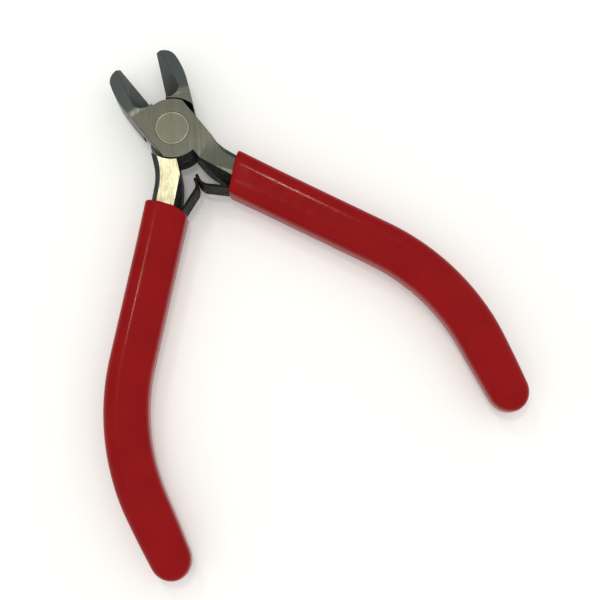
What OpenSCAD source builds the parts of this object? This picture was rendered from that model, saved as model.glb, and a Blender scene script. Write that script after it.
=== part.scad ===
// Diagonal cutting pliers with a lap joint, a flush rivet, two leaf springs and dipped plastic grips.
// The tool lies flat: Z = 0 is its rear face, +Z its front face, +Y points to the jaws.
// The pivot axis is the Z axis. The tool stands half open, as its springs leave it.
// Both arms are the same forging. The rear arm is the front arm turned half a turn about Y.

/* [Head] */
// Thickness of the head, both lap plates together
head_thickness = 9.6; // [6:0.1:14]
// Distance from the middle line to a jaw's outer flank
flank_offset = 5.6; // [4:0.1:7]
// Distance from the middle line to the side of the neck
neck_side_offset = 5.8; // [4:0.1:7]
// Radius of the round edge of a lap plate
lap_radius = 6.9; // [5.5:0.05:8]
// Radius of the recess that the other lap plate turns in
recess_radius = 7.15; // [5.6:0.05:8.5]
// Gap between the two lap plates
lap_gap = 0.1; // [0.04:0.02:0.3]
// Width of the chamfer around the head
head_chamfer = 0.4; // [0.1:0.1:0.8]
// Angle that each arm stands away from its closed position
half_opening = 13; // [0:0.5:20]

/* [Jaws] */
// Distance from the pivot to the jaw tip
jaw_tip_distance = 20.3; // [16:0.1:26]
// Radius of the outer flank's curve
flank_radius = 24; // [18:0.5:40]
// Distance from the pivot where the flank starts to curve
flank_curve_start = 10; // [7:0.5:14]
// Radius of the jaw's nose
nose_radius = 3.27; // [2:0.01:5]
// Distance of the nose centre from the cutting edge
nose_centre_offset = 1.1; // [0.2:0.1:3]
// Distance from the pivot where the jaw starts to taper in thickness
taper_start = 8.4; // [6:0.1:12]
// Angle of the taper on each face
taper_angle = 17; // [5:0.5:20]
// Angle between a bevel and the face of the head
bevel_angle = 51.3; // [35:0.1:65]
// Radius of the cutter mark at the root of a bevel
bevel_root_radius = 3; // [1.5:0.1:5]
// Distance of the cutter mark's centre from the cutting edge
bevel_root_offset = 0.6; // [0:0.1:2]
// Distance from the pivot to the cutter mark's centre
bevel_root_distance = 10.4; // [8:0.1:14]
// Gap left at each cutting edge when the jaws are shut
edge_gap = 0.03; // [0.01:0.01:0.1]

/* [Rivet] */
// Radius of the pivot rivet
rivet_radius = 3.8; // [2:0.05:5]
// Radial clearance of the rivet in the rear arm
rivet_clearance = 0.04; // [0.01:0.01:0.1]
// Chamfer at both ends of the rivet
rivet_chamfer = 0.2; // [0.05:0.05:0.4]

/* [Handles] */
// Angle of the straight part of a handle from the middle line
handle_angle = 24.3; // [15:0.1:35]
// Angle of the tail, bent back past the middle line's direction
tail_angle = 13; // [0:0.5:25]
// Radius of the handle's bend, at its centre line
bend_radius = 49; // [30:1:90]
// Sideways distance of the bend's widest point
bend_widest_offset = 23.9; // [15:0.1:35]
// Distance from the pivot to the bend's widest point
bend_distance = 69; // [50:1:90]
// Length from the grip's mouth to the start of the bend
straight_length = 36.1; // [20:0.1:60]
// Width of the steel inside the grip
core_width = 6.1; // [4:0.1:8]
// Thickness of the steel inside the grip
core_thickness = 7; // [4:0.1:8]
// Edge radius of the steel inside the grip
core_edge_radius = 0.9; // [0.3:0.1:2]
// Length of the steel's tail after the bend
core_tail_length = 9.5; // [2:0.5:12]
// Radius of the neck's curve on the outer side
neck_outer_radius = 12; // [10:0.5:14]
// Distance from the pivot where the neck's outer curve starts
neck_outer_start = 7; // [6.6:0.1:7.4]
// Radius of the neck's curve on the inner side
neck_inner_radius = 20; // [18:0.5:24]
// Distance from the pivot where the neck's inner curve starts
neck_inner_start = 9.8; // [8:0.1:12]
// Distance from the middle line to the inner side of the neck
neck_inner_offset = 0.5; // [0.4:0.1:0.8]
// Slope of the neck on the side of the recess
neck_recess_slope = 7.96; // [3:0.01:12]
// Slope of the neck on the side of the lap plate
neck_plate_slope = 10.5; // [3:0.1:15]
// Distance from the handle's middle to the ground face's inner edge, on the side of the lap plate
plate_face_inner = 1.1; // [0.5:0.1:2]
// Distance from the handle's middle to the ground face's outer edge, on the side of the lap plate
plate_face_outer = 2.6; // [2:0.1:3]
// Distance from the handle's middle to the ground face's inner edge, on the side of the recess
recess_face_inner = 1.66; // [0.5:0.02:2]
// Distance from the handle's middle to the ground face's outer edge, on the side of the recess
recess_face_outer = 2.4; // [2:0.1:3]

/* [Grips] */
// Width of a grip
grip_width = 9.8; // [8:0.1:12]
// Thickness of a grip
grip_thickness = 9.6; // [8:0.1:12]
// Edge radius of a grip
grip_edge_radius = 3.3; // [2:0.1:4.5]
// Length of the grip's tail after the bend
grip_tail_length = 11.5; // [6:0.5:20]
// Angle of the grip's slanted mouth
mouth_slant = 14; // [0:1:25]
// Gap between the steel and the grip
grip_gap = 0.02; // [0.01:0.01:0.1]

/* [Leaf springs] */
// Thickness of a leaf
leaf_thickness = 0.6; // [0.3:0.05:1]
// Width of a leaf
leaf_width = 6.8; // [4:0.1:8]
// Gap between the leaf's root and the handle
leaf_gap = 0.05; // [0.02:0.01:0.2]
// Distance from the grip's mouth to the end of the leaf's flat root
leaf_bend_start = 4.34; // [2:0.02:8]
// Length of the leaf's flat root
leaf_root_length = 12; // [8:0.5:20]
// Radius of the leaf's first bend, away from the handle
leaf_first_radius = 12.5; // [8:0.1:20]
// Angle of the leaf's first bend
leaf_first_bend = 20.1; // [5:0.1:35]
// Length of the straight stretch between the bends
leaf_run_length = 4; // [1:0.1:8]
// Radius of the leaf's second bend, along the middle line
leaf_second_radius = 2.5; // [1.5:0.1:6]
// Length of the leaf's straight tip
leaf_tip_length = 0.8; // [0.3:0.1:3]
// Radius of the leaf's rivet
leaf_rivet_radius = 1.2; // [0.6:0.05:2]
// Head radius of the leaf's rivet
leaf_rivet_head_radius = 2; // [1:0.1:3]
// Head height of the leaf's rivet
leaf_rivet_head_height = 0.5; // [0.2:0.05:0.8]
// Depth of the leaf's rivet in the handle
leaf_rivet_depth = 3; // [1:0.1:4]
// Distance from the grip's mouth to the leaf's rivet
leaf_rivet_distance = 11; // [6:0.5:16]
// Radial clearance of the leaf around its rivet
leaf_rivet_clearance = 0.05; // [0.02:0.01:0.2]

/* [Hidden] */
$fn = 96;

mid_height = head_thickness / 2;
half_lap_gap = lap_gap / 2;
over = 1;
blank_reach = 30;

// Colours
plate_steel = [0.46, 0.46, 0.41];
rivet_steel = [0.50, 0.50, 0.44];
spring_steel = [0.14, 0.13, 0.12];
grip_red = [0.66, 0.06, 0.08];

// Jaw outline: flank arc and nose arc touch without a corner
flank_centre_x = flank_radius - flank_offset;
nose_centre_y = jaw_tip_distance - nose_radius;
nose_join_x = -nose_centre_offset - flank_centre_x;
nose_join_y = nose_centre_y - flank_curve_start;
nose_join_length = sqrt(nose_join_x * nose_join_x + nose_join_y * nose_join_y);
nose_join_angle = atan2(nose_join_y, nose_join_x);

// Handle centre line: straight, bend, tail
bend_centre_x = bend_widest_offset - bend_radius;
bend_start_x = bend_centre_x + bend_radius * cos(handle_angle);
bend_start_y = -bend_distance + bend_radius * sin(handle_angle);
mouth_x = bend_start_x - straight_length * sin(handle_angle);
mouth_y = bend_start_y + straight_length * cos(handle_angle);

// Neck: where its two side curves end on the sides of the handle
half_core = core_width / 2;
neck_root_end = 2;
core_start = 1.2;
core_tail_step = 0.1;
join_step = 0.02;
join_overlap = 0.4;
neck_recess_top = -10.3;
neck_plate_top = -8;
chamfer_angle = 45;
chamfer_depth = 2.2;
neck_shoulder_end = 11.4;
neck_shoulder_taper = 0.3;

// Centre of the neck's outer curve, and where that curve runs into the handle's direction
neck_curve_x = neck_side_offset + neck_outer_radius;
neck_join_x = neck_curve_x - neck_outer_radius * cos(handle_angle) - mouth_x;
neck_join_y = -neck_outer_start - neck_outer_radius * sin(handle_angle) - mouth_y;
neck_join_along = neck_join_x * sin(handle_angle) - neck_join_y * cos(handle_angle);
neck_half_width = neck_join_x * cos(handle_angle) + neck_join_y * sin(handle_angle);

// Leaf spring
leaf_offset = half_core + leaf_gap + leaf_thickness / 2;
leaf_bottom = mid_height - leaf_width / 2;
leaf_second_bend = leaf_first_bend + handle_angle + half_opening;
slot_gap = 0.15;
slot_mouth_depth = 4.3;

// Turns the front arm's closed frame into the open front arm
module as_front() {
    rotate([0, 0, half_opening]) children();
}

// The rear arm's pieces are the front ones, turned over about Y
module as_rear() {
    rotate([0, 0, -half_opening]) translate([0, 0, head_thickness]) rotate([0, 180, 0]) children();
}

// Frame at the bend's centre, turned to where the bend meets the straight part or the tail
module at_bend_centre(angle) {
    translate([bend_centre_x, -bend_distance, 0]) rotate([0, 0, angle]) children();
}

// Frame at the straight part's end on the bend: +Y runs up to the head, +X to the outer side
module on_straight() {
    at_bend_centre(handle_angle) translate([bend_radius, 0, 0]) children();
}

// Frame at the tail's end on the bend: -Y runs to the tip, +X to the outer side
module on_tail() {
    at_bend_centre(-tail_angle) translate([bend_radius, 0, 0]) children();
}

// Frame of the handle at the grip's mouth: +X runs down the handle, +Y to its outer side
module at_mouth() {
    on_straight() translate([0, straight_length, 0]) rotate([0, 0, -90]) children();
}

// Rounded section, centred on the middle of the tool's thickness
module section(width, thickness, edge_radius) {
    inner_width = width - 2 * edge_radius;
    inner_thickness = thickness - 2 * edge_radius;
    translate([-width / 2, mid_height - inner_thickness / 2]) square([width, inner_thickness]);
    translate([-inner_width / 2, mid_height - thickness / 2]) square([inner_width, thickness]);
    for (side = [-1, 1])
        for (level = [-1, 1])
            translate([side * inner_width / 2, mid_height + level * inner_thickness / 2])
                circle(r = edge_radius);
}

// Straight bar of the section, from the origin along -Y
module bar(length, width, thickness, edge_radius) {
    rotate([90, 0, 0]) linear_extrude(height = length) section(width, thickness, edge_radius);
}

// Round end of the bar, toward -Y
module bar_end(width, thickness, edge_radius) {
    rotate([0, 0, 180]) rotate_extrude(angle = 180) intersection() {
        section(width, thickness, edge_radius);
        translate([0, -over]) square([width, head_thickness + 2 * over]);
    }
}

// Bend of the section, cut where it meets the straight part and the tail
module bar_bend(width, thickness, edge_radius) {
    cut_size = 2 * bend_radius;
    difference() {
        at_bend_centre(-90) rotate_extrude(angle = 180)
            translate([bend_radius, 0]) section(width, thickness, edge_radius);
        at_bend_centre(handle_angle) translate([0, 0, -over]) cube([cut_size, cut_size, cut_size]);
        at_bend_centre(-tail_angle) translate([0, -cut_size, -over])
            cube([cut_size, cut_size, cut_size]);
    }
}

// Straight part and bend of the section, from a distance past the mouth
module bar_to_tail(start, width, thickness, edge_radius) {
    on_straight() translate([0, straight_length - start, 0])
        bar(straight_length - start, width, thickness, edge_radius);
    bar_bend(width, thickness, edge_radius);
}

// Steel inside the grip, larger all round by a gap. Its tail is a little thinner than its bend.
module core_bar(start, gap) {
    width = core_width + 2 * gap;
    thickness = core_thickness + 2 * gap;
    edge_radius = core_edge_radius + gap;
    tail_width = width - 2 * core_tail_step;
    tail_thickness = thickness - 2 * core_tail_step;
    bar_to_tail(start, width, thickness, edge_radius);
    on_tail() {
        translate([0, join_overlap, 0])
            bar(core_tail_length + join_overlap, tail_width, tail_thickness, edge_radius);
        translate([0, -core_tail_length, 0]) bar_end(tail_width, tail_thickness, edge_radius);
    }
}

// Outside of the grip, before its mouth is cut. Its tail is a hair thinner than its bend.
module grip_bar() {
    tail_width = grip_width - 2 * join_step;
    tail_thickness = grip_thickness - 2 * join_step;
    bar_to_tail(-2 * neck_root_end, grip_width, grip_thickness, grip_edge_radius);
    on_tail() {
        translate([0, join_overlap, 0])
            bar(grip_tail_length + join_overlap, tail_width, tail_thickness, grip_edge_radius);
        translate([0, -grip_tail_length, 0])
            bar_end(tail_width, tail_thickness, grip_edge_radius);
    }
}

// Outline of the jaw seen from the front, cutting edge along Y
module jaw_outline() {
    intersection() {
        translate([-flank_offset - over, 0])
            square([flank_offset + over - edge_gap, jaw_tip_distance]);
        union() {
            translate([-flank_offset, 0]) square([flank_offset, flank_curve_start]);
            translate([0, flank_curve_start]) square([over, over]);
            intersection() {
                translate([flank_centre_x, flank_curve_start]) circle(r = flank_radius, $fn = 360);
                translate([-flank_offset - over, flank_curve_start])
                    square([flank_offset + over, jaw_tip_distance]);
            }
        }
        union() {
            translate([-nose_centre_offset, nose_centre_y]) circle(r = nose_radius);
            translate([-nose_centre_offset, 0]) square([nose_centre_offset, jaw_tip_distance]);
            polygon([
                [-nose_centre_offset, 0],
                [-nose_centre_offset, nose_centre_y],
                [
                    -nose_centre_offset + blank_reach * cos(nose_join_angle),
                    nose_centre_y + blank_reach * sin(nose_join_angle)
                ],
                [-blank_reach, 0]
            ]);
        }
    }
}

// Space that the grinding of one bevel takes away
module bevel_cut() {
    intersection() {
        translate([0, 0, mid_height]) rotate([0, bevel_angle, 0])
            translate([-blank_reach, 0, 0]) cube([blank_reach, blank_reach, blank_reach]);
        translate([0, 0, mid_height - over]) linear_extrude(height = head_thickness) {
            translate([-bevel_root_offset, bevel_root_distance]) circle(r = bevel_root_radius);
            translate([-flank_offset - over, bevel_root_distance])
                square([flank_offset + 2 * over, blank_reach]);
        }
    }
}

// Space above the tapered front face of the jaw
module taper_cut() {
    translate([-blank_reach / 2, taper_start, head_thickness]) rotate([-taper_angle, 0, 0])
        cube([blank_reach, blank_reach, blank_reach]);
}

// Chamfer along the straight flank of the head's front face
module flank_chamfer_cut() {
    translate([-flank_offset + head_chamfer, -lap_radius, head_thickness]) rotate([0, 45, 0])
        translate([-blank_reach, 0, 0]) cube([blank_reach, lap_radius + taper_start, blank_reach]);
}

// Puts a front cut on the recess side of the closed arm
module on_recess_side() {
    translate([0, 0, head_thickness]) mirror([0, 0, 1]) children();
}

// Puts a front cut on both faces of the closed arm
module on_both_faces() {
    children();
    on_recess_side() children();
}

// The jaw, full thickness at its root
module jaw() {
    difference() {
        linear_extrude(height = head_thickness) jaw_outline();
        on_both_faces() {
            bevel_cut();
            taper_cut();
        }
    }
}

// Outline of the neck between the head and the grip
module neck_outline() {
    difference() {
        polygon([
            [neck_inner_offset, -lap_radius / 2],
            [neck_inner_offset, -neck_inner_start],
            [neck_inner_offset, mouth_y - 2 * neck_root_end],
            [mouth_x + 2 * half_core, mouth_y - 2 * neck_root_end],
            [mouth_x + 2 * half_core, -neck_outer_start],
            [neck_side_offset, -neck_outer_start],
            [neck_side_offset, 0],
            [lap_radius / 2, 0]
        ]);
        translate([neck_curve_x, -neck_outer_start]) circle(r = neck_outer_radius, $fn = 180);
        difference() {
            translate([-over, -blank_reach - neck_inner_start]) square([blank_reach / 2, blank_reach]);
            translate([neck_inner_offset + neck_inner_radius, -neck_inner_start])
                circle(r = neck_inner_radius, $fn = 240);
        }
        at_neck_end() translate([0, -blank_reach / 2]) square([blank_reach, blank_reach]);
        at_neck_end() translate([neck_join_along - neck_root_end, neck_half_width])
            square([blank_reach, blank_reach]);
    }
}

// Frame at the end of the neck's outline, inside the grip
module at_neck_end() {
    translate([mouth_x, mouth_y]) rotate(handle_angle - 90) translate([neck_root_end, 0]) children();
}

// Frame on a sloped face of the neck: +X down the handle, +Y to its outer side, +Z out of the face
module on_slope(top, slope) {
    at_mouth() translate([top, 0, head_thickness]) rotate([0, slope, 0]) children();
}

// Space above a sloped face of the neck
module slope_cut(top, slope) {
    on_slope(top, slope) translate([0, -blank_reach / 2, 0])
        cube([blank_reach, blank_reach, blank_reach]);
}

// Chamfers beside the ground face: flats along the handle, and a cone around the neck's outer curve
module face_chamfers(top, slope, face_inner, face_outer) {
    cone_radius = neck_outer_radius + neck_half_width - face_outer;
    on_slope(top, slope) {
        translate([-blank_reach / 2, -face_inner, 0]) rotate([chamfer_angle, 0, 0])
            translate([0, -blank_reach, 0]) cube([blank_reach, blank_reach, blank_reach]);
        translate([neck_join_along - top, face_outer, 0]) rotate([-chamfer_angle, 0, 0])
            cube([blank_reach, blank_reach, blank_reach]);
        translate([neck_join_along - top, neck_half_width + neck_outer_radius, -chamfer_depth])
            cylinder(
                r1 = cone_radius - chamfer_depth,
                r2 = cone_radius + over,
                h = chamfer_depth + over,
                $fn = 180
            );
    }
}

// Full-width shoulder of the neck on the side of the lap plate
module neck_shoulder() {
    polygon([
        [lap_radius / 2, 0],
        [lap_radius / 2, -neck_shoulder_end],
        [neck_side_offset - neck_shoulder_taper, -neck_shoulder_end],
        [neck_side_offset, -neck_outer_start],
        [neck_side_offset, 0]
    ]);
}

// The neck, from the recess's edge into the grip
module neck() {
    difference() {
        union() {
            difference() {
                linear_extrude(height = head_thickness) neck_outline();
                face_chamfers(neck_plate_top, neck_plate_slope, plate_face_inner, plate_face_outer);
                on_recess_side() face_chamfers(
                    neck_recess_top, neck_recess_slope, recess_face_inner, recess_face_outer
                );
            }
            translate([0, 0, mid_height]) linear_extrude(height = mid_height) neck_shoulder();
        }
        slope_cut(neck_plate_top, neck_plate_slope);
        on_recess_side() slope_cut(neck_recess_top, neck_recess_slope);
    }
}

// The round lap plate at the front of the closed arm
module lap_plate() {
    plate_bottom = mid_height + half_lap_gap;
    translate([0, 0, plate_bottom]) intersection() {
        cylinder(r = lap_radius, h = head_thickness - plate_bottom, $fn = 180);
        translate([-flank_offset, -lap_radius, 0])
            cube([flank_offset + neck_side_offset, 2 * lap_radius, head_thickness]);
    }
}

// One forged arm in its closed position, its lap plate in front
module arm(bore_radius) {
    difference() {
        union() {
            jaw();
            neck();
            core_bar(core_start, 0);
            lap_plate();
        }
        translate([0, 0, -over])
            cylinder(r = recess_radius, h = mid_height + half_lap_gap + over, $fn = 180);
        on_both_faces() flank_chamfer_cut();
        translate([0, 0, -over]) cylinder(r = bore_radius, h = head_thickness + 2 * over);
        leaf_rivet_bore();
    }
}

// Frame of the leaf's rivet: +Z points out of the handle's inner side
module at_leaf_rivet() {
    at_mouth() translate([leaf_rivet_distance, -half_core, mid_height]) rotate([90, 0, 0]) children();
}

// Blind bore for the leaf's rivet
module leaf_rivet_bore() {
    at_leaf_rivet() translate([0, 0, -leaf_rivet_depth])
        cylinder(r = leaf_rivet_radius, h = leaf_rivet_depth + over);
}

// Rivet that holds the leaf on the handle
module leaf_rivet() {
    shank_length = leaf_rivet_depth + leaf_gap + leaf_thickness;
    at_leaf_rivet() translate([0, 0, -leaf_rivet_depth]) {
        cylinder(r = leaf_rivet_radius, h = shank_length + leaf_rivet_head_height / 2);
        translate([0, 0, shank_length])
            cylinder(r = leaf_rivet_head_radius, h = leaf_rivet_head_height);
    }
}

// Straight stretch of leaf along +X, then what follows it.
// It reaches a little into both neighbours, a hair thinner and narrower than they are.
module leaf_run(length) {
    run_thickness = leaf_thickness - 2 * join_step;
    run_width = leaf_width - 2 * join_step;
    translate([-join_overlap, -run_thickness / 2, mid_height - run_width / 2])
        cube([length + 2 * join_overlap, run_thickness, run_width]);
    translate([length, 0, 0]) children();
}

// Bent stretch of leaf that turns left, then what follows it
module leaf_left(radius, turn) {
    translate([0, radius, 0]) {
        rotate([0, 0, -90]) rotate_extrude(angle = turn, $fn = 240)
            translate([radius - leaf_thickness / 2, leaf_bottom]) square([leaf_thickness, leaf_width]);
        rotate([0, 0, turn]) translate([0, -radius, 0]) children();
    }
}

// Bent stretch of leaf that turns right, then what follows it
module leaf_right(radius, turn) {
    mirror([0, 1, 0]) leaf_left(radius, turn) mirror([0, 1, 0]) children();
}

// Leaf spring on the closed arm: flat root on the handle, bent free end at the middle line
module leaf() {
    difference() {
        at_mouth() translate([leaf_bend_start + leaf_root_length, -leaf_offset, 0])
            rotate([0, 0, 180])
                leaf_run(leaf_root_length)
                leaf_left(leaf_first_radius, leaf_first_bend)
                leaf_run(leaf_run_length)
                leaf_right(leaf_second_radius, leaf_second_bend)
                leaf_run(leaf_tip_length);
        at_leaf_rivet() translate([0, 0, -over])
            cylinder(r = leaf_rivet_radius + leaf_rivet_clearance, h = leaf_offset);
    }
}

// Dipped grip on the closed arm, hollow where the steel and the leaf lie
module grip() {
    difference() {
        grip_bar();
        core_bar(-4 * neck_root_end, grip_gap);
        at_mouth() rotate([0, 0, mouth_slant]) translate([-blank_reach, -blank_reach / 2, -over])
            cube([blank_reach, blank_reach, head_thickness + 2 * over]);
        leaf_slot();
        neck_slot();
    }
}

// Room in the grip for the outer side of the neck's root
module neck_slot() {
    slot_thickness = core_thickness + 2 * grip_gap;
    at_mouth() translate([-2 * over, 0, mid_height - slot_thickness / 2])
        cube([2 * over + neck_root_end + grip_gap, neck_half_width + grip_gap, slot_thickness]);
}

// Room in the grip for the leaf's root, its first bend and its rivet's head
module leaf_slot() {
    slot_side = leaf_offset + leaf_thickness / 2 + slot_gap;
    slot_bottom = leaf_bottom - slot_gap;
    slot_width = leaf_width + 2 * slot_gap;
    slot_end = leaf_bend_start + leaf_root_length + join_overlap + slot_gap;
    at_mouth() {
        translate([-over, -slot_side, slot_bottom]) cube([slot_end + over, half_core, slot_width]);
        translate([-over, -slot_mouth_depth, slot_bottom])
            cube([leaf_bend_start + over, half_core, slot_width]);
    }
    at_leaf_rivet() cylinder(
        r = leaf_rivet_head_radius + slot_gap,
        h = leaf_gap + leaf_thickness + leaf_rivet_head_height + slot_gap
    );
}

module front_arm() {
    color(plate_steel) as_front() arm(rivet_radius);
}

module rear_arm() {
    color(plate_steel) as_rear() arm(rivet_radius + rivet_clearance);
}

// Flush rivet through both lap plates
module pivot_rivet() {
    edge_radius = rivet_radius - rivet_chamfer;
    color(rivet_steel) {
        cylinder(r1 = edge_radius, r2 = rivet_radius, h = rivet_chamfer);
        translate([0, 0, rivet_chamfer])
            cylinder(r = rivet_radius, h = head_thickness - 2 * rivet_chamfer);
        translate([0, 0, head_thickness - rivet_chamfer])
            cylinder(r1 = rivet_radius, r2 = edge_radius, h = rivet_chamfer);
    }
}

module front_grip() {
    color(grip_red) as_front() grip();
}

module rear_grip() {
    color(grip_red) as_rear() grip();
}

module front_leaf_spring() {
    color(spring_steel) as_front() leaf();
}

module rear_leaf_spring() {
    color(spring_steel) as_rear() leaf();
}

module front_spring_rivet() {
    color(rivet_steel) as_front() leaf_rivet();
}

module rear_spring_rivet() {
    color(rivet_steel) as_rear() leaf_rivet();
}

front_arm();
rear_arm();
pivot_rivet();
front_grip();
rear_grip();
front_leaf_spring();
rear_leaf_spring();
front_spring_rivet();
rear_spring_rivet();
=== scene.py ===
import math

import bmesh
import bpy
from mathutils import Matrix, Vector
from mathutils.bvhtree import BVHTree


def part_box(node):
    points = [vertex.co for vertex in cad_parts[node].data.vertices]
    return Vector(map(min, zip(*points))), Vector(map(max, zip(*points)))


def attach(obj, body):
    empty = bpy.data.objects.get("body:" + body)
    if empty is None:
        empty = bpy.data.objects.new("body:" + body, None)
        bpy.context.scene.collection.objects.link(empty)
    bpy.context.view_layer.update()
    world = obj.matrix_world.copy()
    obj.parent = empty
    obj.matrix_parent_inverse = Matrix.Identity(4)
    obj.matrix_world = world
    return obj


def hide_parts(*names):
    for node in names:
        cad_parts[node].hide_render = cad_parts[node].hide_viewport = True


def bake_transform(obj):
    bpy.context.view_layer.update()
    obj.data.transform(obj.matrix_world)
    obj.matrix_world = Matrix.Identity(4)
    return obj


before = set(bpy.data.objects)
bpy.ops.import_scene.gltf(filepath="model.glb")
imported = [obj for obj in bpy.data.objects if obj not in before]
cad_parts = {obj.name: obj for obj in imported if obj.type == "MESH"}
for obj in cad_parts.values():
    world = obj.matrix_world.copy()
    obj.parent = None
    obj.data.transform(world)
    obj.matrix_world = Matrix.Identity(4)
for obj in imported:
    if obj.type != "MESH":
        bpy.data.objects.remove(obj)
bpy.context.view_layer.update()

# ------------------------------------------------------------------ driving dimensions
# Lengths are in millimetres and angles in degrees. Each arm has its own frame, in which the tool
# is shut: +Y to the jaw tip, its lap plate toward +Z, its handle toward +X.
MM = 0.001
HEAD_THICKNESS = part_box("pivot_rivet")[1].z / MM
MIDDLE = HEAD_THICKNESS / 2
HALF_OPENING = 13.0
TAPER_START = 8.4
RECESS_RADIUS = 7.15
RIVET_RADIUS = 3.8

HANDLE_ANGLE = 24.3
TAIL_ANGLE = 13.0
BEND_RADIUS = 49.0
BEND_CENTRE = Vector((-25.1, -69.0))
STRAIGHT_LENGTH = 36.1
BEND_LENGTH = BEND_RADIUS * math.radians(HANDLE_ANGLE + TAIL_ANGLE)

GRIP_WIDTH = 9.8
GRIP_THICKNESS = 9.6
GRIP_TAIL = 11.5
MOUTH_SLANT = 14.0
MOUTH_FADE = 14.0

LEAF_THICKNESS = 0.6
LEAF_WIDTH = 6.8
LEAF_ROOT_OFFSET = 3.4
LEAF_BEND_START = 4.34
LEAF_ROOT_END = 16.3


def arm_frame(side):
    """From an arm's own frame, in millimetres, to the row frame, in metres."""
    scale = Matrix.Scale(MM, 4)
    if side == "front":
        return scale @ Matrix.Rotation(math.radians(HALF_OPENING), 4, "Z")
    flip = Matrix.Translation((0, 0, HEAD_THICKNESS)) @ Matrix.Rotation(math.pi, 4, "Y")
    return scale @ Matrix.Rotation(math.radians(-HALF_OPENING), 4, "Z") @ flip


def handle_point(along, across, height):
    """A point of the handle: along its centre line from the grip's mouth, across to its outer side."""
    turn = min(max(along - STRAIGHT_LENGTH, 0), BEND_LENGTH) / BEND_RADIUS
    angle = math.radians(HANDLE_ANGLE) - turn
    outward = Vector((math.cos(angle), math.sin(angle)))
    down = Vector((math.sin(angle), -math.cos(angle)))
    beyond = min(along - STRAIGHT_LENGTH, 0) + max(along - STRAIGHT_LENGTH - BEND_LENGTH, 0)
    flat = BEND_CENTRE + outward * (BEND_RADIUS + across) + down * beyond
    return Vector((flat.x, flat.y, height))


# ------------------------------------------------------------------ mesh helpers
# Edges that turn by more than these angles stay sharp
ARM_CREASE = 40
SMALL_PART_CREASE = 50


def new_piece(name, mesh_data, side):
    """Object made from a bmesh in an arm's frame."""
    mesh_data.transform(arm_frame(side))
    bmesh.ops.recalc_face_normals(mesh_data, faces=mesh_data.faces)
    mesh = bpy.data.meshes.new(name)
    mesh_data.to_mesh(mesh)
    mesh_data.free()
    for polygon in mesh.polygons:
        polygon.use_smooth = True
    piece = bpy.data.objects.new(name, mesh)
    bpy.context.scene.collection.objects.link(piece)
    return piece


def tube(rings):
    """Closed mesh through rings of points, with both ends capped."""
    data = bmesh.new()
    loops = [[data.verts.new(point) for point in ring] for ring in rings]
    count = len(loops[0])
    for near, far in zip(loops, loops[1:]):
        for i in range(count):
            j = (i + 1) % count
            data.faces.new((near[i], near[j], far[j], far[i]))
    data.faces.new(loops[0])
    data.faces.new(reversed(loops[-1]))
    return data


def weight_normals(piece, sharp_angle):
    """Flat faces stay flat, and the narrow rounds between them carry the shading."""
    piece.data.set_sharp_from_angle(angle=math.radians(sharp_angle))
    modifier = piece.modifiers.new("normals", "WEIGHTED_NORMAL")
    modifier.mode = "FACE_AREA"
    modifier.keep_sharp = True


# ------------------------------------------------------------------ material helpers
class Graph:
    """The node tree of one material."""

    def __init__(self, name):
        self.material = bpy.data.materials.new(name)
        self.material.use_nodes = True
        self.tree = self.material.node_tree
        self.shader = self.tree.nodes["Principled BSDF"]
        self.place = self.tree.nodes.new("ShaderNodeTexCoord").outputs["Object"]

    def plug(self, socket, value):
        """Links a node's output to a socket, or writes a plain value into it."""
        if isinstance(value, bpy.types.NodeSocket):
            self.tree.links.new(value, socket)
        else:
            socket.default_value = value

    def set(self, **values):
        """Sets or links the shader's own sockets."""
        for name, value in values.items():
            self.plug(self.shader.inputs[name.replace("_", " ")], value)

    def math(self, operation, a, b=0.0):
        node = self.tree.nodes.new("ShaderNodeMath")
        node.operation = operation
        self.plug(node.inputs[0], a)
        self.plug(node.inputs[1], b)
        return node.outputs[0]

    def weighted(self, first, second, share):
        """Sum of two values, the second with the given share."""
        return self.math("ADD", self.math("MULTIPLY", first, 1 - share), self.math("MULTIPLY", second, share))

    def fade(self, value, low, high, to_low=0.0, to_high=1.0):
        """Smooth step of a value from one range to another."""
        node = self.tree.nodes.new("ShaderNodeMapRange")
        node.interpolation_type = "SMOOTHSTEP"
        for name, number in zip(("From Min", "From Max", "To Min", "To Max"), (low, high, to_low, to_high)):
            node.inputs[name].default_value = number
        self.plug(node.inputs["Value"], value)
        return node.outputs["Result"]

    def mix(self, factor, a, b):
        """Colour that runs from a to b."""
        node = self.tree.nodes.new("ShaderNodeMix")
        node.data_type = "RGBA"
        self.plug(node.inputs[0], factor)
        self.plug(node.inputs[6], a)
        self.plug(node.inputs[7], b)
        return node.outputs[2]

    def place_in(self, turn, grain):
        """Object coordinates turned about Z, in units of a grain size given in millimetres."""
        node = self.tree.nodes.new("ShaderNodeMapping")
        node.vector_type = "TEXTURE"
        node.inputs["Rotation"].default_value = (0, 0, math.radians(turn))
        node.inputs["Scale"].default_value = tuple(MM * size for size in grain)
        self.plug(node.inputs["Vector"], self.place)
        return node.outputs["Vector"]

    def noise(self, vector, detail=2.0, roughness=0.5):
        node = self.tree.nodes.new("ShaderNodeTexNoise")
        self.plug(node.inputs["Vector"], vector)
        node.inputs["Scale"].default_value = 1.0
        node.inputs["Detail"].default_value = detail
        node.inputs["Roughness"].default_value = roughness
        return node.outputs["Fac"]

    def bump(self, height, distance):
        """Normal of a height whose full range is the given distance in millimetres."""
        node = self.tree.nodes.new("ShaderNodeBump")
        node.inputs["Strength"].default_value = 1.0
        node.inputs["Distance"].default_value = distance * MM
        self.plug(node.inputs["Height"], height)
        return node.outputs["Normal"]


def colour(red, green, blue):
    return (red, green, blue, 1.0)


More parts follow.
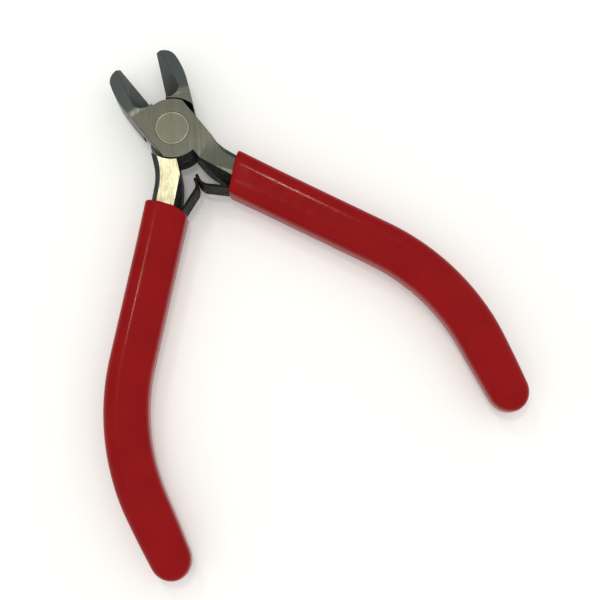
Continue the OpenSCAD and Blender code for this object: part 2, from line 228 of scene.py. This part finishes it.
# Direction of the grinding marks, from +X. The coarse marks lie a little across the fine ones.
GRIND_TURN = 64.0
COARSE_TURN = GRIND_TURN + 3
COARSE_LENGTH = 16.0
COARSE_WIDENING = 5
COARSE_SHARE = 0.38
CLOUD_SIZE = 3.0
CLOUD_SHARE = 0.3


def ground_steel(name, light, dark, roughness, grain_depth=0.004, grain_width=0.12, grain_length=9.0):
    """Ground steel: fine parallel scratches, a few coarser ones, and faint cloudy staining."""
    g = Graph(name)
    fine_place = g.place_in(GRIND_TURN, (grain_length, grain_width, 3.0))
    coarse_place = g.place_in(COARSE_TURN, (COARSE_LENGTH, grain_width * COARSE_WIDENING, 6.0))
    fine = g.noise(fine_place, detail=4.0, roughness=0.65)
    coarse = g.noise(coarse_place, detail=3.0)
    cloud = g.noise(g.place_in(0, (CLOUD_SIZE,) * 3), detail=4.0, roughness=0.6)
    streak = g.weighted(fine, coarse, COARSE_SHARE)
    tone = g.weighted(g.fade(streak, 0.34, 0.66), g.fade(cloud, 0.35, 0.7), CLOUD_SHARE)
    g.set(Base_Color=g.mix(tone, dark, light), Metallic=1.0)
    g.set(Roughness=g.fade(tone, 0.0, 1.0, roughness + 0.07, roughness - 0.04))
    g.set(Normal=g.bump(streak, grain_depth))
    return g.material


PIT_SIZE = 0.16
PIT_DEPTH = 0.012


def forged_steel(name, light, dark, roughness):
    """Blackened forging: fine pits, soft patches and a dull sheen."""
    g = Graph(name)
    pits = g.noise(g.place_in(0, (PIT_SIZE,) * 3), detail=5.0, roughness=0.6)
    patch = g.noise(g.place_in(20, (1.6, 1.1, 1.6)), detail=3.0)
    g.set(Base_Color=g.mix(g.fade(patch, 0.35, 0.7), dark, light))
    g.set(Roughness=g.fade(patch, 0.3, 0.7, roughness + 0.08, roughness - 0.08))
    g.set(Specular_IOR_Level=0.1)
    g.set(Normal=g.bump(pits, PIT_DEPTH))
    return g.material


PEEL_SIZE = 0.7
PEEL_SHARE = 0.12
WAVE_SIZE = 9.0
WAVE_DEPTH = 0.045


def dipped_plastic(name):
    """Dipped soft plastic: a smooth skin with slow waves, faint orange peel and dull rubbed patches."""
    g = Graph(name)
    peel = g.noise(g.place_in(0, (PEEL_SIZE,) * 3), detail=2.0)
    waves = g.noise(g.place_in(0, (WAVE_SIZE,) * 3), detail=1.0)
    rubbed = g.noise(g.place_in(30, (3.5, 1.6, 3.0)), detail=4.0, roughness=0.65)
    thin = colour(0.25, 0.004, 0.0053)
    thick = colour(0.275, 0.0048, 0.0064)
    g.set(Base_Color=g.mix(g.fade(waves, 0.35, 0.65), thin, thick))
    g.set(Roughness=g.fade(rubbed, 0.35, 0.75, 0.1, 0.2))
    g.set(Specular_IOR_Level=0.075)
    height = g.math("ADD", g.math("MULTIPLY", peel, PEEL_SHARE), waves)
    g.set(Normal=g.bump(height, WAVE_DEPTH))
    return g.material


# Lighter and darker colour of each finish, then its roughness
plate_steel = ground_steel(
    "plate_steel", colour(0.137, 0.14, 0.115), colour(0.082, 0.084, 0.07), 0.27, grain_depth=0.006
)
jaw_steel = ground_steel("jaw_steel", colour(0.17, 0.175, 0.162), colour(0.12, 0.124, 0.116), 0.3)
bevel_steel = ground_steel("bevel_steel", colour(0.075, 0.08, 0.082), colour(0.05, 0.053, 0.055), 0.34)
# Painted highlight: the rear neck facet is the plate's ground steel, given a far lighter, warmer colour in
# place of the lamp's reflection on it
highlit_facet_steel = ground_steel(
    "highlit_facet_steel", colour(0.72, 0.68, 0.49), colour(0.3, 0.285, 0.205), 0.3,
    grain_depth=0.006, grain_width=0.3, grain_length=1.5,
)
# Painted highlight: a lighter steel colour for the strip where the neck's taper catches the light
glint_steel = ground_steel(
    "glint_steel", colour(0.36, 0.34, 0.25), colour(0.13, 0.125, 0.098), 0.3,
    grain_depth=0.012, grain_width=0.3, grain_length=1.2,
)
flank_steel = ground_steel("flank_steel", colour(0.105, 0.098, 0.079), colour(0.07, 0.065, 0.053), 0.36)
rivet_steel = ground_steel(
    "rivet_steel", colour(0.175, 0.176, 0.138), colour(0.108, 0.109, 0.086), 0.27, grain_depth=0.006
)
# Lighter steel for the rivet's lip: partly the lip's polish, partly a painted highlight of its bright ring
lip_polish_and_highlight_steel = ground_steel("lip_polish_and_highlight_steel", colour(0.3, 0.29, 0.22), colour(0.17, 0.165, 0.125), 0.3)
black_steel = forged_steel("black_steel", colour(0.017, 0.018, 0.018), colour(0.009, 0.01, 0.0105), 0.5)
chamfer_steel = forged_steel("chamfer_steel", colour(0.034, 0.042, 0.045), colour(0.02, 0.026, 0.028), 0.42)
spring_steel = forged_steel(
    "spring_steel", colour(0.0085, 0.0072, 0.0058), colour(0.005, 0.0043, 0.0035), 0.5
)
grip_plastic = dipped_plastic("grip_plastic")

# ------------------------------------------------------------------ arms
ARM_FINISHES = [
    black_steel, plate_steel, jaw_steel, bevel_steel, highlit_facet_steel, flank_steel, chamfer_steel, glint_steel
]
BLACK, PLATE, JAW, BEVEL, HIGHLIT_FACET, FLANK, CHAMFER, GLINT = range(len(ARM_FINISHES))

WELD = 0.01
FLAT_ANGLE = 0.3
CUT_SNAP = 0.004

EDGE_ROUND = 0.08
ROUND_STEPS = 3
SHARP_ANGLE = 30
PROUD = 0.002
SPECK = 0.0005
JAW_HEEL = Vector((0.0, 7.4, MIDDLE))
HEEL_CLEAR = 1.0

TAPER_SLOPE = math.tan(math.radians(17))
SHOULDER_REACH = 1.2
SHOULDER_CUTS = 10

# A face is told by how much it looks up or down: 1 for a level face, 0 for a wall
LEVEL = 0.9995
NEARLY_LEVEL = 0.97
JAW_TAPER = (0.9, 0.98)
JAW_START = TAPER_START - 0.5
CUTTING_BEVEL = (0.4, 0.75)
BEVEL_START = TAPER_START - 2
NECK_CHAMFER = (0.6, 0.8)
WALL = 0.1
FACE_DEPTH = 0.1
FLOOR_DEPTH = 0.2
LAP_DEPTH = 1.0
NECK_START = 0.0
NECK_END = -17.0
NECK_CORE = (2.2, 7.5)
CHAMFER_START = -4.0
FLANK_START = -3.0

# Ends of the line along the front neck that sets off its strip with a painted highlight
GLINT_START = handle_point(-6.2, -1.5, 0)
GLINT_END = handle_point(0.6, 0.1, 0)
# The black strip on the flank starts at this place and widens toward the neck
FLANK_LINE = Vector((0.0, TAPER_START, HEAD_THICKNESS - 0.35))
FLANK_LINE_SLOPE = -0.05


def within(value, bounds):
    return bounds[0] < value < bounds[1]


def arm_finish(face):
    """Which finish a face of an arm has, from its place and direction in the arm's frame."""
    normal = face.normal
    centre = face.calc_center_median()
    level = abs(normal.z)
    if centre.y > JAW_START and within(level, JAW_TAPER) and normal.y > 0.2:
        return JAW
    if centre.y > BEVEL_START and within(level, CUTTING_BEVEL) and normal.x > 0.4:
        return BEVEL
    if level > LEVEL:
        outside = abs(centre.z - MIDDLE) > MIDDLE - FACE_DEPTH
        recess_floor = centre.to_2d().length < RECESS_RADIUS and abs(centre.z - MIDDLE) < FLOOR_DEPTH
        return PLATE if outside or recess_floor else BLACK
    if level > NEARLY_LEVEL and NECK_END < centre.y < NECK_START and not within(centre.z, NECK_CORE):
        # The facet below the neck gets the steel colour with the painted highlight
        return PLATE if normal.z > 0 else HIGHLIT_FACET
    if within(level, NECK_CHAMFER) and centre.y < CHAMFER_START and normal.x > 0.2:
        return CHAMFER
    if level < WALL and normal.x < -0.9 and centre.x < FLANK_START:
        return FLANK
    return BLACK


def cut_faces(data, faces, place, direction):
    """Cuts some faces by a plane and returns all that they become."""
    # Keys of a dict keep their order, so that every run gives the same mesh
    geometry = dict.fromkeys(faces)
    for face in faces:
        geometry.update(dict.fromkeys([*face.edges, *face.verts]))
    cut = bmesh.ops.bisect_plane(
        data, geom=list(geometry), plane_co=place, plane_no=direction, dist=CUT_SNAP
    )
    return [part for part in cut["geom"] if isinstance(part, bmesh.types.BMFace)]


def mark_beyond(data, faces, place, direction, finish):
    """Gives a finish to the part of some faces that lies beyond a plane."""
    for face in cut_faces(data, faces, place, direction):
        if (face.calc_center_median() - place).dot(direction) > 0:
            face.material_index = finish


def soften_shoulder(data, sign):
    """Runs the ground face down into the taper of the jaw in one soft curve."""
    skin = [
        face for face in data.faces
        if face.material_index in (PLATE, JAW) and face.normal.z * sign > JAW_TAPER[0]
        and abs(face.calc_center_median().z - MIDDLE) > LAP_DEPTH
    ]
    for i in range(SHOULDER_CUTS + 1):
        y = TAPER_START + SHOULDER_REACH * (2 * i / SHOULDER_CUTS - 1)
        skin = cut_faces(data, skin, Vector((0, y, 0)), Vector((0, 1, 0)))
    for vert in {vert for face in skin for vert in face.verts}:
        past = vert.co.y - TAPER_START
        if abs(past) < SHOULDER_REACH:
            drop = (past + SHOULDER_REACH) ** 2 / (4 * SHOULDER_REACH) - max(past, 0.0)
            vert.co.z -= sign * TAPER_SLOPE * drop


def mark_glint(data):
    """Sets off the strip along the inner edge of the neck's ground facet that gets a painted highlight."""
    facet = [
        face for face in data.faces
        if face.material_index == PLATE and within(face.normal.z, (NEARLY_LEVEL, LEVEL))
        and face.calc_center_median().y < NECK_START
    ]
    along = GLINT_END - GLINT_START
    mark_beyond(data, facet, GLINT_START, Vector((along.y, -along.x, 0)), GLINT)


def mark_flank(data):
    """Leaves the flank black in a narrow strip under the plate's edge, wider toward the neck."""
    flank = [face for face in data.faces if face.material_index == FLANK]
    mark_beyond(data, flank, FLANK_LINE, Vector((0, FLANK_LINE_SLOPE, 1)), BLACK)


def rounded(mesh, chosen):
    """The mesh with the chosen edges rounded. New faces keep the finish of their neighbours."""
    weights = mesh.attributes.new("bevel_weight_edge", "FLOAT", "EDGE")
    weights.data.foreach_set("value", [float(is_chosen) for is_chosen in chosen])
    blank = bpy.data.objects.new("blank", mesh)
    bpy.context.scene.collection.objects.link(blank)
    modifier = blank.modifiers.new("round", "BEVEL")
    modifier.limit_method = "WEIGHT"
    modifier.width = EDGE_ROUND
    modifier.segments = ROUND_STEPS
    modifier.use_clamp_overlap = False
    result = bpy.data.meshes.new_from_object(blank.evaluated_get(bpy.context.evaluated_depsgraph_get()))
    bpy.data.objects.remove(blank)
    bpy.data.meshes.remove(mesh)
    return result


def arm_piece(side):
    """The forging with rounded edges and each surface's own finish."""
    node = side + "_arm"
    data = bmesh.new()
    data.from_mesh(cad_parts[node].data)
    data.transform(arm_frame(side).inverted())
    bmesh.ops.remove_doubles(data, verts=data.verts, dist=WELD)
    bmesh.ops.dissolve_limit(
        data, angle_limit=math.radians(FLAT_ANGLE), verts=data.verts, edges=data.edges, delimit=set()
    )
    for face in data.faces:
        face.material_index = arm_finish(face)
    soften_shoulder(data, 1)
    soften_shoulder(data, -1)
    mark_glint(data)
    mark_flank(data)
    surface = BVHTree.FromBMesh(data)
    data.edges.index_update()
    chosen = [
        math.degrees(edge.calc_face_angle_signed()) > SHARP_ANGLE
        and min((vert.co - JAW_HEEL).length for vert in edge.verts) > HEEL_CLEAR
        for edge in data.edges
    ]
    sharp_mesh = bpy.data.meshes.new("sharp")
    data.to_mesh(sharp_mesh)
    data.free()
    soft_mesh = rounded(sharp_mesh, chosen)
    data = bmesh.new()
    data.from_mesh(soft_mesh)
    bpy.data.meshes.remove(soft_mesh)
    # Rounding takes a little steel away and never adds any
    for vert in data.verts:
        place, normal, _, distance = surface.find_nearest(vert.co)
        if distance > EDGE_ROUND or (vert.co - place).dot(normal) > PROUD:
            vert.co = place
    bmesh.ops.dissolve_degenerate(data, edges=data.edges, dist=SPECK)
    piece = new_piece(node + "_forging", data, side)
    for finish in ARM_FINISHES:
        piece.data.materials.append(finish)
    weight_normals(piece, ARM_CREASE)
    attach(piece, node)
    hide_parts(node)


# ------------------------------------------------------------------ grips
# Exponents of the grip's section: 2 is an ellipse, and a higher one has tighter corners
GRIP_ROUNDNESS = 3.8
MOUTH_ROUNDNESS = 5.2
TIP_ROUNDNESS = 2.2
TUNNEL_ROUNDNESS = 8
RIM_RADIUS = 0.55

# The crown is a ridge along the grip, off its middle, from which the skin falls away on both sides
CROWN_PLACE = 2.2
CROWN_SLOPE = 0.24
CROWN_SOFTNESS = 0.8
CROWN_REACH = 3.0

TAIL_CLEAR = 0.03
TAIL_END = STRAIGHT_LENGTH + BEND_LENGTH + GRIP_TAIL - TAIL_CLEAR
TAIL_SLIMMING = 16.0
TAIL_WIDTH_LOSS = 0.1
TAIL_HEIGHT_LOSS = 0.12

TUNNEL_INNER = 4.32
TUNNEL_OUTER = 3.1
TUNNEL_HEIGHT = 7.1
TUNNEL_START = 0.15
TUNNEL_STEP = 8.0
TUNNEL_DEPTH = 17.4
TUNNEL_SHOULDER = 0.4
NECK_ROOM = 3.68
NECK_ROOM_DEPTH = 3.2
NECK_ROOM_SHOULDER = 0.2
CORE_WIDTH = 6.1
CORE_CLEAR = 0.04
CORE_END = STRAIGHT_LENGTH + BEND_LENGTH + 9.5

RING_POINTS = 72
TIP_RINGS = 14
FIRST_TIP_RING = 0.35
SKIN_RINGS = 80
RIM_RINGS = 6
CORE_RINGS = 24


def superellipse(half_width, half_height, roundness):
    """Section with soft corners."""
    points = []
    for i in range(RING_POINTS):
        angle = 2 * math.pi * (i + 0.5) / RING_POINTS
        c, s = math.cos(angle), math.sin(angle)
        points.append((
            math.copysign(abs(c) ** (2 / roundness), c) * half_width,
            math.copysign(abs(s) ** (2 / roundness), s) * half_height,
        ))
    return points


def mouth_line(side, across):
    """Where the dipped skin ends, measured along the handle. Each grip ran to its own line."""
    if side == "front":
        return -math.tan(math.radians(MOUTH_SLANT)) * across - 0.1
    inner_curve = 0.055 * max(0.0, 0.5 - across) ** 2
    outer_curve = 0.012 * max(0.0, across - 2.5) ** 2
    return 0.45 + inner_curve - outer_curve


def crown(across):
    """Share of the full height that is left beside the crown's ridge."""
    fall = math.hypot(across - CROWN_PLACE, CROWN_SOFTNESS) - CROWN_SOFTNESS
    return 1 - CROWN_SLOPE * CROWN_REACH * math.tanh(fall / CROWN_REACH) / (GRIP_THICKNESS / 2)


def mouth_share(along):
    """1 at the mouth, falling to 0 where the mouth's shape has faded out."""
    return max(0.0, 1 - along / MOUTH_FADE)


def slimness(along):
    """0 on the grip's even stretch, rising to 1 at the end of its tail."""
    return min(max((along - TAIL_END) / TAIL_SLIMMING + 1, 0.0), 1.0) ** 2


def skin_size(along):
    """Half width and half height of the grip's skin."""
    slim = slimness(along)
    return GRIP_WIDTH / 2 * (1 - TAIL_WIDTH_LOSS * slim), GRIP_THICKNESS / 2 * (1 - TAIL_HEIGHT_LOSS * slim)


def skin_roundness(along):
    return GRIP_ROUNDNESS + (MOUTH_ROUNDNESS - GRIP_ROUNDNESS) * mouth_share(along) ** 2


def grip_ring(side, along, half_width, half_height, roundness, shift=0.0, crowned=False):
    """Section of the grip at a distance from its mouth, bent to the mouth's line near it."""
    share = mouth_share(along)
    return [
        handle_point(
            along + mouth_line(side, across + shift) * share,
            across + shift,
            MIDDLE + height * (crown(across) if crowned else 1),
        )
        for across, height in superellipse(half_width, half_height, roundness)
    ]


def tip_rings(side):
    """Round tip, from its end to the tail."""
    full_reach = GRIP_WIDTH / 2
    half_width, half_height = skin_size(TAIL_END)
    for i in range(TIP_RINGS):
        angle = math.pi / 2 * (i + FIRST_TIP_RING) / TIP_RINGS
        reach = full_reach * math.cos(angle)
        share = math.sin(angle)
        depth = (1 - (reach / full_reach) ** GRIP_ROUNDNESS) ** (1 / GRIP_ROUNDNESS)
        roundness = TIP_ROUNDNESS + (GRIP_ROUNDNESS - TIP_ROUNDNESS) * share
        yield grip_ring(
            side, TAIL_END + reach, half_width * share, half_height * depth, roundness, crowned=True
        )


def skin_rings(side):
    """Skin, from the tail back to the mouth, and the mouth's rolled rim."""
    for i in range(SKIN_RINGS + 1):
        along = RIM_RADIUS + (TAIL_END - RIM_RADIUS) * (1 - i / SKIN_RINGS)
        yield grip_ring(side, along, *skin_size(along), skin_roundness(along), crowned=True)
    for i in range(1, RIM_RINGS + 1):
        angle = math.pi / 2 * i / RIM_RINGS
        along = RIM_RADIUS * (1 - math.sin(angle))
        inset = RIM_RADIUS * (1 - math.cos(angle))
        yield grip_ring(
            side, along, GRIP_WIDTH / 2 - inset, GRIP_THICKNESS / 2 - inset, MOUTH_ROUNDNESS, crowned=True
        )


def tunnel_rings(side):
    """Room for the neck's root and the leaf near the mouth, then only for the steel."""
    half_height = TUNNEL_HEIGHT / 2
    stations = [
        (TUNNEL_START, NECK_ROOM),
        (NECK_ROOM_DEPTH, NECK_ROOM),
        (NECK_ROOM_DEPTH + NECK_ROOM_SHOULDER, TUNNEL_OUTER),
        (TUNNEL_STEP, TUNNEL_OUTER),
        (TUNNEL_DEPTH, TUNNEL_OUTER),
    ]
    for along, outer in stations:
        middle = (outer - TUNNEL_INNER) / 2
        yield grip_ring(side, along, (outer + TUNNEL_INNER) / 2, half_height, TUNNEL_ROUNDNESS, middle)
    for i in range(CORE_RINGS + 1):
        along = TUNNEL_DEPTH + TUNNEL_SHOULDER + (CORE_END - TUNNEL_DEPTH) * i / CORE_RINGS
        yield grip_ring(side, along, CORE_WIDTH / 2 + CORE_CLEAR, half_height, TUNNEL_ROUNDNESS)
    yield grip_ring(side, CORE_END + CORE_WIDTH / 2, CORE_WIDTH / 4, half_height, TUNNEL_ROUNDNESS / 2)


def grip_piece(side):
    """Dipped grip: crowned skin, rolled mouth, round tip, and a tunnel for the steel and the leaf."""
    rings = [*tip_rings(side), *skin_rings(side), *tunnel_rings(side)]
    piece = new_piece(side + "_grip_dipped", tube(rings), side)
    piece.data.materials.append(grip_plastic)
    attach(piece, side + "_arm")
    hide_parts(side + "_grip")


# ------------------------------------------------------------------ leaf springs
# Length and bend of each stretch of a leaf, root first
LEAF_STRETCHES = [
    (LEAF_ROOT_END - LEAF_BEND_START, 0.0),
    (12.5 * math.radians(20.1), 20.1),
    (4.0, 0.0),
    (2.5 * math.radians(57.4), -57.4),
]
LEAF_TIP = {"front": 1.4, "rear": 0.8}
LEAF_EDGE = 0.1
LEAF_CORNER = 1.0
CORNER_SHARE = 0.9
LEAF_STEP = 0.25
EDGE_TURN = 30

# Foot of the leaf's free end, in its arm's frame. leaf_piece turns it into the row frame but does not use it,
# and the leaf is not attached to a body
LEAF_FREE_END = Vector((-2.4, -12.2, MIDDLE))


def leaf_line(side):
    """Places along the leaf, root first: a point and a heading, in the frame of the grip's mouth."""
    point = Vector((LEAF_ROOT_END, -LEAF_ROOT_OFFSET))
    heading = math.pi
    places = [(point.copy(), heading)]
    for length, turn in LEAF_STRETCHES + [(LEAF_TIP[side], 0.0)]:
        steps = max(4, round(length / LEAF_STEP))
        for _ in range(steps):
            heading += math.radians(turn) / steps / 2
            point = point + Vector((math.cos(heading), math.sin(heading))) * (length / steps)
            heading += math.radians(turn) / steps / 2
            places.append((point.copy(), heading))
    return places


def leaf_ring(point, heading, half_width, half_thickness):
    """Rectangle with rounded edges, across the leaf."""
    side = Vector((-math.sin(heading), math.cos(heading)))
    ring = []
    for sx, sz in ((1, 1), (-1, 1), (-1, -1), (1, -1)):
        for k in range(4):
            quarter = math.radians(EDGE_TURN * k)
            if sx * sz > 0:
                ox, oz = math.cos(quarter), math.sin(quarter)
            else:
                ox, oz = math.sin(quarter), math.cos(quarter)
            across = sx * (half_thickness - LEAF_EDGE + LEAF_EDGE * ox)
            height = sz * (half_width - LEAF_EDGE + LEAF_EDGE * oz)
            flat = point + side * across
            ring.append(handle_point(flat.x, flat.y, MIDDLE + height))
    return ring


def leaf_piece(side):
    """Bent leaf with rounded edges and corners. The rivet's shank runs on through it."""
    places = leaf_line(side)
    total = sum(length for length, _ in LEAF_STRETCHES) + LEAF_TIP[side]
    run = 0.0
    rings = []
    for i, (point, heading) in enumerate(places):
        if i:
            run += (point - places[i - 1][0]).length
        end = min(run, total - run, LEAF_CORNER)
        inset = LEAF_CORNER - math.sqrt(max(LEAF_CORNER ** 2 - (LEAF_CORNER - end) ** 2, 0.0))
        rings.append(leaf_ring(point, heading, LEAF_WIDTH / 2 - inset * CORNER_SHARE, LEAF_THICKNESS / 2))
    piece = new_piece(side + "_leaf", tube(rings), side)
    piece.data.materials.append(spring_steel)
    weight_normals(piece, SMALL_PART_CREASE)
    end = arm_frame(side) @ LEAF_FREE_END
    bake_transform(piece)
    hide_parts(side + "_leaf_spring")


for side in ("front", "rear"):
    arm_piece(side)
    grip_piece(side)
    leaf_piece(side)


# ------------------------------------------------------------------ rivets
RIVET_TURNS = 128
FACE_RADII = (0.8, 2.0, 3.3, 3.5)
LIP_START = FACE_RADII[-1]
LIP_END = 3.7
# Radius and depth of each turn from the lip's crest down the shank
RIM = [
    (LIP_END, 0.0), (3.75, 0.012), (3.77, 0.1), (3.78, 0.3), (RIVET_RADIUS, 0.32), (RIVET_RADIUS, MIDDLE)
]
LIP_FOOT = 0.03
LIP_FOOT_DEPTH = 0.85
DISH = 0.016
DEEP_SIDE = math.radians(-62)


def dish(radius, angle):
    """Depth of the rivet's face under its lip. The face was ground a little out of true."""
    return DISH * (1 + radius / LIP_START * math.cos(angle - DEEP_SIDE))


def rivet_outline(angle):
    """Radius and height of the rivet's outline, from its lower face to its upper one."""
    half = [(radius, dish(radius, angle)) for radius in FACE_RADII]
    half.append((LIP_START + LIP_FOOT, dish(LIP_START, angle) * LIP_FOOT_DEPTH))
    half += RIM
    return half + [(radius, HEAD_THICKNESS - depth) for radius, depth in reversed(half[:-1])]


def rivet_piece():
    """Flush rivet: brushed faces inside a narrow lip that was peened against the bore."""
    data = bmesh.new()
    columns = []
    for i in range(RIVET_TURNS):
        angle = 2 * math.pi * i / RIVET_TURNS
        columns.append([
            data.verts.new((radius * math.cos(angle), radius * math.sin(angle), height))
            for radius, height in rivet_outline(angle)
        ])
    low = data.verts.new((0, 0, DISH))
    high = data.verts.new((0, 0, HEAD_THICKNESS - DISH))
    for near, far in zip(columns, columns[1:] + columns[:1]):
        data.faces.new((low, far[0], near[0]))
        for k in range(len(near) - 1):
            face = data.faces.new((near[k], far[k], far[k + 1], near[k + 1]))
            reach = face.calc_center_median().to_2d().length
            # The lip gets the lighter colour, partly polish and partly painted highlight
            face.material_index = 1 if LIP_START < reach < LIP_END else 0
        data.faces.new((high, near[-1], far[-1]))
    piece = new_piece("pivot_rivet_turned", data, "front")
    piece.data.materials.append(rivet_steel)
    piece.data.materials.append(lip_polish_and_highlight_steel)
    weight_normals(piece, SMALL_PART_CREASE)
    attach(piece, "front_arm")
    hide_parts("pivot_rivet")


rivet_piece()
for side in ("front", "rear"):
    small_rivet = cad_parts[side + "_spring_rivet"]
    small_rivet.data.materials.clear()
    small_rivet.data.materials.append(rivet_steel)

# ------------------------------------------------------------------ camera
CAMERA_AT = Vector((-11.13, -89.28, 241.99)) * MM
CAMERA_RIGHT = Vector((0.89752, -0.44095, -0.00401)).normalized()
CAMERA_UP = Vector((0.43327, 0.88013, 0.19406))
camera_data = bpy.data.cameras.new("camera")
camera_data.lens = 66.0
camera_data.sensor_width = 36.0
camera_data.clip_start = 0.01
camera_data.clip_end = 10.0
camera = bpy.data.objects.new("camera", camera_data)
bpy.context.scene.collection.objects.link(camera)
camera_back = CAMERA_RIGHT.cross(CAMERA_UP).normalized()
camera_up = camera_back.cross(CAMERA_RIGHT)
camera_axes = Matrix((CAMERA_RIGHT, camera_up, camera_back)).transposed().to_4x4()
camera.matrix_world = Matrix.Translation(CAMERA_AT) @ camera_axes
bpy.context.scene.camera = camera

# ------------------------------------------------------------------ floor and light
FLOOR_REACH = 1.0
FLOOR_DROP = 0.02
floor_mesh = bpy.data.meshes.new("floor")
floor_corners = [(x * FLOOR_REACH, y * FLOOR_REACH, 0) for x, y in ((-1, -1), (1, -1), (1, 1), (-1, 1))]
floor_mesh.from_pydata(floor_corners, [], [(0, 1, 2, 3)])
floor = bpy.data.objects.new("floor", floor_mesh)
floor.location.z = -FLOOR_DROP * MM
floor_graph = Graph("floor")
floor_graph.set(Base_Color=colour(0.95, 0.95, 0.95), Roughness=0.9, Specular_IOR_Level=0.0)
floor_graph.set(Emission_Color=colour(1.0, 1.0, 1.0), Emission_Strength=0.1)
floor.data.materials.append(floor_graph.material)
bpy.context.scene.collection.objects.link(floor)

LAMP_AIM = Vector((0, -0.012, 0.01))


def lamp(name, direction, distance, size, power, tint):
    """Square soft lamp that points at the head of the tool."""
    data = bpy.data.lights.new(name, "AREA")
    data.energy = power
    data.size = size
    data.color = tint
    obj = bpy.data.objects.new(name, data)
    bpy.context.scene.collection.objects.link(obj)
    toward = Vector(direction).normalized()
    obj.location = LAMP_AIM + toward * distance
    obj.rotation_euler = toward.to_track_quat("Z", "Y").to_euler()


lamp("key", (0.005, 0.152, 0.988), 0.7, 0.05, 0.48, (1.0, 0.93, 0.76))
lamp("second", (-0.05, 0.6, 0.8), 0.8, 0.1, 0.5, (1.0, 0.97, 0.88))

# Sky: warm white, and a cooler grey toward the far side (+Y)
WARM_SKY = colour(0.95, 0.95, 0.92)
COOL_SKY = colour(0.36, 0.42, 0.46)
SKY_FADE = (0.3, 0.9)
world = bpy.data.worlds.new("world")
world.use_nodes = True
bpy.context.scene.world = world
world_tree = world.node_tree
sky_place = world_tree.nodes.new("ShaderNodeTexCoord")
sky_parts = world_tree.nodes.new("ShaderNodeSeparateXYZ")
sky_fade = world_tree.nodes.new("ShaderNodeMapRange")
sky_fade.interpolation_type = "SMOOTHSTEP"
sky_fade.inputs["From Min"].default_value, sky_fade.inputs["From Max"].default_value = SKY_FADE
sky_mix = world_tree.nodes.new("ShaderNodeMix")
sky_mix.data_type = "RGBA"
sky_mix.inputs[6].default_value = WARM_SKY
sky_mix.inputs[7].default_value = COOL_SKY
background = world_tree.nodes["Background"]
background.inputs["Strength"].default_value = 1.0
world_tree.links.new(sky_place.outputs["Generated"], sky_parts.inputs[0])
world_tree.links.new(sky_parts.outputs["Y"], sky_fade.inputs["Value"])
world_tree.links.new(sky_fade.outputs["Result"], sky_mix.inputs[0])
world_tree.links.new(sky_mix.outputs[2], background.inputs["Color"])
bpy.context.scene.view_settings.view_transform = "Standard"
